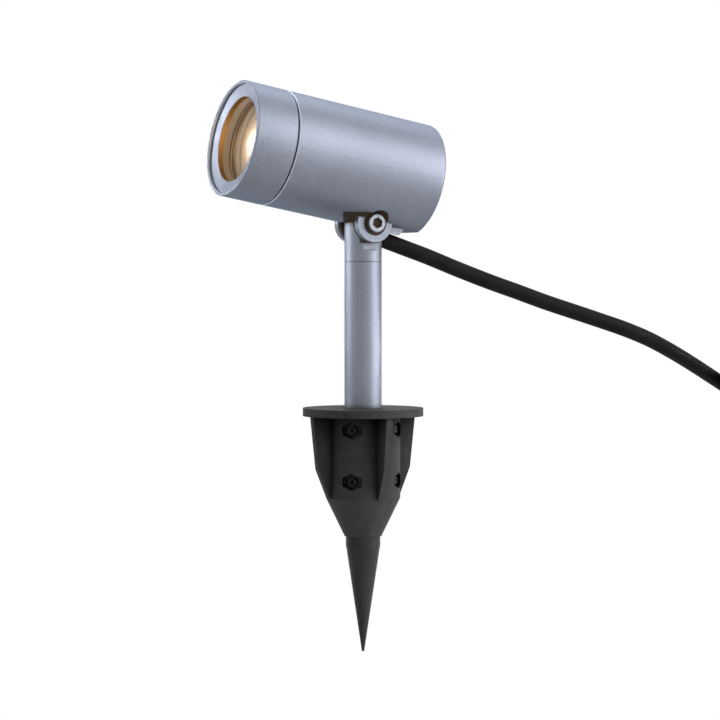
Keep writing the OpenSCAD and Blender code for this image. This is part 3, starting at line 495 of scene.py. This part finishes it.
def bump(tree, shader, height, strength, depth, under=None):
    """Bump on the shader, over another bump where one is given as under."""
    node = tree.nodes.new("ShaderNodeBump")
    node.inputs["Strength"].default_value = strength
    node.inputs["Distance"].default_value = depth * MM
    tree.links.new(height, node.inputs["Height"])
    if under is not None:
        tree.links.new(under, node.inputs["Normal"])
    tree.links.new(node.outputs["Normal"], shader.inputs["Normal"])
    return node.outputs["Normal"]


# Materials
def new_material(name, metallic=0.0, ior=1.5, specular=0.5):
    mat = bpy.data.materials.new(name)
    mat.use_nodes = True
    shader = mat.node_tree.nodes["Principled BSDF"]
    shader.inputs["Metallic"].default_value = metallic
    shader.inputs["IOR"].default_value = ior
    shader.inputs["Specular IOR Level"].default_value = specular
    return mat, mat.node_tree, shader


def two_tone(tree, shader, patches, low, high, rough):
    """Base colour and roughness that both vary with patches."""
    tree.links.new(mixed(tree, patches, low, high), shader.inputs["Base Color"])
    tree.links.new(spread(tree, patches, *rough), shader.inputs["Roughness"])


def paint_shade(tree, shader, colour, share):
    """Paints the warm brown of shade flat over colour by share, and gives the same brown as a faint
    glow.
    """
    shader.inputs["Emission Strength"].default_value = 1.0
    tree.links.new(mixed(tree, share, (0, 0, 0), SHADE_BROWN), shader.inputs["Emission Color"])
    return mixed(tree, share, colour, SHADE_BROWN)


def socket_share(tree):
    """1 in the hexagonal socket of the pivot bolt, where shade is painted."""
    measures = {"right": distance_along(tree, X_AXIS),
                "off_bolt": distance_off(tree, PIVOT, X_AXIS)}
    return region_share(tree, measures, BOLT_SOCKET)


def surface(name, low, high, rough, patch_scale=60, grain_scale=1800, grain=0.15,
            grain_depth=0.05, metallic=0.0, specular=0.5, crevice=None, hollow=None):
    """Two tones in soft patches, uneven roughness, fine grain and shallow waviness.

    crevice and hollow are arguments of crevice_share. The first paints warm brown shade, with a
    faint glow of it, on the bolt's close places and its socket, and the second paints near-black
    shade on close places.
    """
    mat, tree, shader = new_material(name, metallic, specular=specular)
    patches = noise(tree, patch_scale, detail=4)
    colour = mixed(tree, spread(tree, patches, 0, 1), low, high)
    # Painted shade: warm brown, with a faint glow of it, in close places and in the bolt's socket
    if crevice:
        shade_share = either_of(tree, socket_share(tree), crevice_share(tree, *crevice))
        colour = paint_shade(tree, shader, colour, shade_share)
    # Painted shade: near black in close places
    if hollow:
        colour = mixed(tree, crevice_share(tree, *hollow), colour, SHADE_BLACK)
    tree.links.new(colour, shader.inputs["Base Color"])
    tree.links.new(spread(tree, patches, *rough), shader.inputs["Roughness"])
    wave = bump(tree, shader, patches, WAVE, WAVE_DEPTH)
    bump(tree, shader, noise(tree, grain_scale, detail=2), grain, grain_depth, wave)
    return mat


def head_measures(tree):
    """Distances from the pivot in several directions, and from the lamp's and bolt's axes."""
    mirrored = Vector((-RIGHT.x, RIGHT.y, 0))
    return {
        "forward": distance_along(tree, LAMP_FORWARD),
        "above": distance_along(tree, Z_AXIS),
        "across": either_of(tree, distance_along(tree, RIGHT), distance_along(tree, mirrored)),
        "aside": either_of(tree, distance_along(tree, X_AXIS), distance_along(tree, -X_AXIS)),
        "off_axis": distance_off(tree, on_lamp_axis(0), LAMP_FORWARD),
        "off_bolt": distance_off(tree, PIVOT, X_AXIS),
    }


def joint_shade(tree, measures):
    """Share of painted shade: 1 in the joint's gaps and on the barrel's underside above the tongue,
    where a shaded pocket is painted, but not on the ears.
    """
    in_gaps = all_of(tree, region_share(tree, measures, JOINT_SIDE),
                     crevice_share(tree, *JOINT_GAPS))
    off_ears = spread(tree, region_share(tree, measures, EARS), 1, 0, 0, 1)
    in_pocket = all_of(tree, region_share(tree, measures, POCKET), off_ears)
    return either_of(tree, in_gaps, in_pocket)


def anodised_material():
    """Satin anodised aluminium: cool grey metal with a fine sparkling grain, painted warm light in
    the bore, a painted highlight beside the seam, a dark seam, painted light on the lip's inner
    wall and painted shade at the joint.
    """
    mat, tree, shader = new_material("anodised_aluminium", metallic=1.0)
    shader.inputs["Specular Tint"].default_value = (0.5, 0.55, 0.65, 1)
    specks = noise(tree, 900, detail=2)
    tone = chain(tree, "ADD", [spread(tree, noise(tree, 25), 0.0, 0.4),
                               spread(tree, specks, 0.0, 0.6)])
    colour = mixed(tree, tone, (0.16, 0.175, 0.212), (0.24, 0.26, 0.31))
    measures = head_measures(tree)
    # Painted warm light in the bore, a painted highlight beside the seam, painted light on the lip,
    # and the dark seam
    for region, painted in ((BORE, BORE_WARM_LIGHT), (SEAM_EDGE, SEAM_HIGHLIGHT), (LIP, LIP_PAINTED_LIGHT),
                            (SEAM, SEAM_DARK)):
        colour = mixed(tree, region_share(tree, measures, region), colour, painted)
    # Painted shade at the joint: warm brown, with a faint glow of it
    colour = paint_shade(tree, shader, colour, joint_shade(tree, measures))
    tree.links.new(colour, shader.inputs["Base Color"])
    tree.links.new(spread(tree, specks, 0.48, 0.58), shader.inputs["Roughness"])
    bump(tree, shader, noise(tree, 1500, detail=1, rough=0.4), 0.5, 0.04)
    return mat


def glass_material():
    mat, tree, shader = new_material("clear_glass")
    shader.inputs["Transmission Weight"].default_value = 1.0
    patches = noise(tree, 90)
    two_tone(tree, shader, patches, (0.96, 0.975, 0.97), (0.99, 0.995, 0.99), (0.0, 0.03))
    bump(tree, shader, patches, 0.05, 0.02)
    return mat


def lens_material():
    """Lightly frosted lens, lit from behind: white-hot in the middle and golden outwards."""
    mat, tree, shader = new_material("frosted_lens", ior=1.45)
    off_axis = distance_off(tree, on_lamp_axis(0), LAMP_FORWARD)
    glow = ramp(tree, spread(tree, off_axis, 0, 1, 0, LENS_R * MM), LENS_GLOW)
    tree.links.new(glow, shader.inputs["Emission Color"])
    shader.inputs["Emission Strength"].default_value = LENS_STRENGTH
    two_tone(tree, shader, noise(tree, 300), (0.3, 0.25, 0.2), (0.38, 0.32, 0.26), (0.25, 0.4))
    bump(tree, shader, noise(tree, 1500), 0.1, 0.03)
    return mat


def reflector_material():
    mat, tree, shader = new_material("satin_reflector", metallic=1.0)
    two_tone(tree, shader, noise(tree, 200), (0.5, 0.4, 0.29), (0.6, 0.5, 0.38), (0.28, 0.42))
    bump(tree, shader, noise(tree, 1400), 0.12, 0.03)
    return mat


def silicone_material():
    """Milky silicone that carries the lamp's light."""
    mat, tree, shader = new_material("silicone_seal")
    two_tone(tree, shader, noise(tree, 150), (0.26, 0.22, 0.18), (0.34, 0.29, 0.24), (0.4, 0.55))
    shader.inputs["Subsurface Weight"].default_value = 0.3
    shader.inputs["Subsurface Radius"].default_value = (1, 0.7, 0.4)
    shader.inputs["Subsurface Scale"].default_value = 1.5 * MM
    bump(tree, shader, noise(tree, 900), 0.1, 0.03)
    return mat


def make_materials():
    """All materials by the name of their slot."""
    materials = {name: surface(name, low, high, rough, **extras)
                 for name, (low, high, rough, extras) in SURFACES.items()}
    materials["anodised_aluminium"] = anodised_material()
    materials["clear_glass"] = glass_material()
    materials["satin_reflector"] = reflector_material()
    materials["frosted_lens"] = lens_material()
    materials["silicone_seal"] = silicone_material()
    return materials


def paint(obj, mat):
    """Gives every material slot of obj the same material."""
    if not obj.material_slots:
        obj.data.materials.append(mat)
    for place in obj.material_slots:
        place.material = mat


# Stage, which is white to the camera and in reflections
def seen_directly(tree):
    """1 for camera, glossy and transmission rays."""
    path = tree.nodes.new("ShaderNodeLightPath")
    return either_of(tree, path.outputs["Is Camera Ray"], path.outputs["Is Glossy Ray"],
                     path.outputs["Is Transmission Ray"])


def split_by_ray(tree, plain, white, out):
    """Shows white to the rays that see it directly, and plain to the others."""
    mix = tree.nodes.new("ShaderNodeMixShader")
    tree.links.new(seen_directly(tree), mix.inputs["Fac"])
    tree.links.new(plain, mix.inputs[1])
    tree.links.new(white, mix.inputs[2])
    tree.links.new(mix.outputs["Shader"], out.inputs["Surface"])


def stage_material():
    mat, tree, shader = new_material("pale_floor")
    tree.links.new(mixed(tree, noise(tree, 30), (0.78, 0.78, 0.78), (0.82, 0.82, 0.82)),
                   shader.inputs["Base Color"])
    shader.inputs["Roughness"].default_value = 0.9
    glow = tree.nodes.new("ShaderNodeEmission")
    split_by_ray(tree, shader.outputs["BSDF"], glow.outputs["Emission"],
                 tree.nodes["Material Output"])
    return mat


def add_floor(mat):
    bm = bmesh.new()
    corners = [Vector((x * FLOOR_HALF, y * FLOOR_HALF, FLOOR_Z)) * MM
               for x, y in ((-1, -1), (1, -1), (1, 1), (-1, 1))]
    bm.faces.new([bm.verts.new(corner) for corner in corners])
    floor = add_mesh("floor", bm)
    floor.data.materials.append(mat)


def add_plinth(mat):
    """A round block that carries the coil, up to soil level."""
    radius = (COIL_R + CABLE_D / 2 + PLINTH_EDGE) * MM
    bm = bmesh.new()
    bmesh.ops.create_cone(bm, cap_ends=True, segments=PLINTH_SIDES, radius1=radius,
                          radius2=radius, depth=-FLOOR_Z * MM)
    bmesh.ops.translate(bm, verts=bm.verts[:], vec=Vector((*COIL_CENTRE, FLOOR_Z / 2)) * MM)
    plinth = add_mesh("plinth", bm)
    plinth.data.materials.append(mat)


def world_lobe(tree, parts, start, end, strength):
    """Soft light around a direction, from start to end in the cosine of the angle from it."""
    coords = tree.nodes.new("ShaderNodeTexCoord")
    cosine = vector_maths(tree, "DOT_PRODUCT", coords.outputs["Generated"], toward(*parts))["Value"]
    reach = tree.nodes.new("ShaderNodeMapRange")
    reach.interpolation_type = "SMOOTHSTEP"
    reach.inputs["From Min"].default_value = start
    reach.inputs["From Max"].default_value = end
    reach.inputs["To Max"].default_value = strength
    tree.links.new(cosine, reach.inputs["Value"])
    return reach.outputs["Result"]


def add_world():
    world = bpy.data.worlds.new("studio")
    bpy.context.scene.world = world
    world.use_nodes = True
    tree = world.node_tree
    tree.nodes.clear()
    lobes = [world_lobe(tree, *values) for values in WORLD_LOBES]
    light = tree.nodes.new("ShaderNodeBackground")
    tree.links.new(chain(tree, "ADD", lobes + [WORLD_BASE]), light.inputs["Strength"])
    white = tree.nodes.new("ShaderNodeBackground")
    white.inputs["Color"].default_value = (1, 1, 1, 1)
    split_by_ray(tree, light.outputs["Background"], white.outputs["Background"],
                 tree.nodes.new("ShaderNodeOutputWorld"))


# Lamps
def add_lamp(name, data):
    light = bpy.data.objects.new(name, data)
    bpy.context.collection.objects.link(light)
    light.visible_camera = False
    return light


def aim_lamp(light, direction, distance, target):
    """Puts a lamp at distance from target in a direction, facing the target."""
    side = Z_AXIS.cross(direction).normalized()
    light.matrix_world = facing(target + direction * distance, side, direction)


def add_panel(name, direction, distance, target, width, height, power):
    """Rectangular soft lamp."""
    data = bpy.data.lights.new(name, "AREA")
    data.shape = "RECTANGLE"
    data.size = width * MM
    data.size_y = height * MM
    data.energy = power
    aim_lamp(add_lamp(name, data), direction, distance, target)


def add_spot(name, direction, distance, target, radius, cone, power):
    """Round lamp with a narrow soft-edged cone, in degrees."""
    data = bpy.data.lights.new(name, "SPOT")
    data.energy = power
    data.spot_size = math.radians(cone)
    data.spot_blend = 0.5
    data.shadow_soft_size = radius * MM
    aim_lamp(add_lamp(name, data), direction, distance, target)


def add_glow(name, f, radius, power):
    """Warm light on the lamp's axis, which moves with the head."""
    data = bpy.data.lights.new(name, "POINT")
    data.energy = power
    data.color = WARM
    data.shadow_soft_size = radius * MM
    light = add_lamp(name, data)
    light.location = on_lamp_axis(f) * MM
    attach(light, "lamp_head")


# The scene
add_camera()

coil_points = [coil_point(i / RINGS_PER_TURN) for i in range(END_TURN * RINGS_PER_TURN + 1)]
whole_run = smooth_path(RUN_POINTS, STEP)
split = next(i for i, p in enumerate(whole_run) if p.y > NEAR_END_Y)
rest = smooth_path([RUN_POINTS[-1]] + coil_points, STEP)
near_path = [p * MM for p in whole_run[:split + 1]]
far_path = [p * MM for p in whole_run[split:] + rest[1:]]
near_cable = tube_mesh("cable_near", near_path, CABLE_D / 2 * MM)
far_cable = tube_mesh("cable_far", far_path, CABLE_D / 2 * MM)
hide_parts("cord_run")
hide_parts("cord_run", "cord_coil")
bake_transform(near_cable)
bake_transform(far_cable)

plug_shell = add_plug(Vector(coil_points[-1]))

materials = make_materials()
for part in frame["record"]["subparts"]:
    if part["node"] in frame["nodes"]:
        paint(frame["nodes"][part["node"]], materials[part["material_slot"]])
for piece in (near_cable, far_cable, plug_shell):
    paint(piece, materials["cable_rubber"])

stage_white = stage_material()
add_floor(stage_white)
add_plinth(stage_white)
add_world()

head_middle = on_lamp_axis(25)
add_panel("key_panel", toward(0.8, 0.42, 0.38), distance=1100, target=head_middle,
          width=800, height=800, power=5.0)
add_panel("top_panel", toward(-0.05, 0.85, -0.5), distance=1000, target=head_middle,
          width=1200, height=500, power=7.0)
add_panel("right_panel", toward(0.98, 0.03, 0.17), distance=1300, target=Vector((0, 0, 50)),
          width=350, height=1400, power=17.0)
add_spot("ring_spot", toward(-0.957, 0.185, -0.223), distance=700, target=on_lamp_axis(78),
         radius=120, cone=9, power=72.0)
add_spot("spike_spot", toward(0.93, 0.1, -0.35), distance=800, target=Vector((0, 0, -70)),
         radius=100, cone=9, power=60.0)
add_glow("glow_inside", 64.62, radius=0.1, power=0.012)
add_glow("glow_outside", 70.2, radius=1.0, power=0.008)

bpy.context.scene.view_settings.view_transform = "Standard"
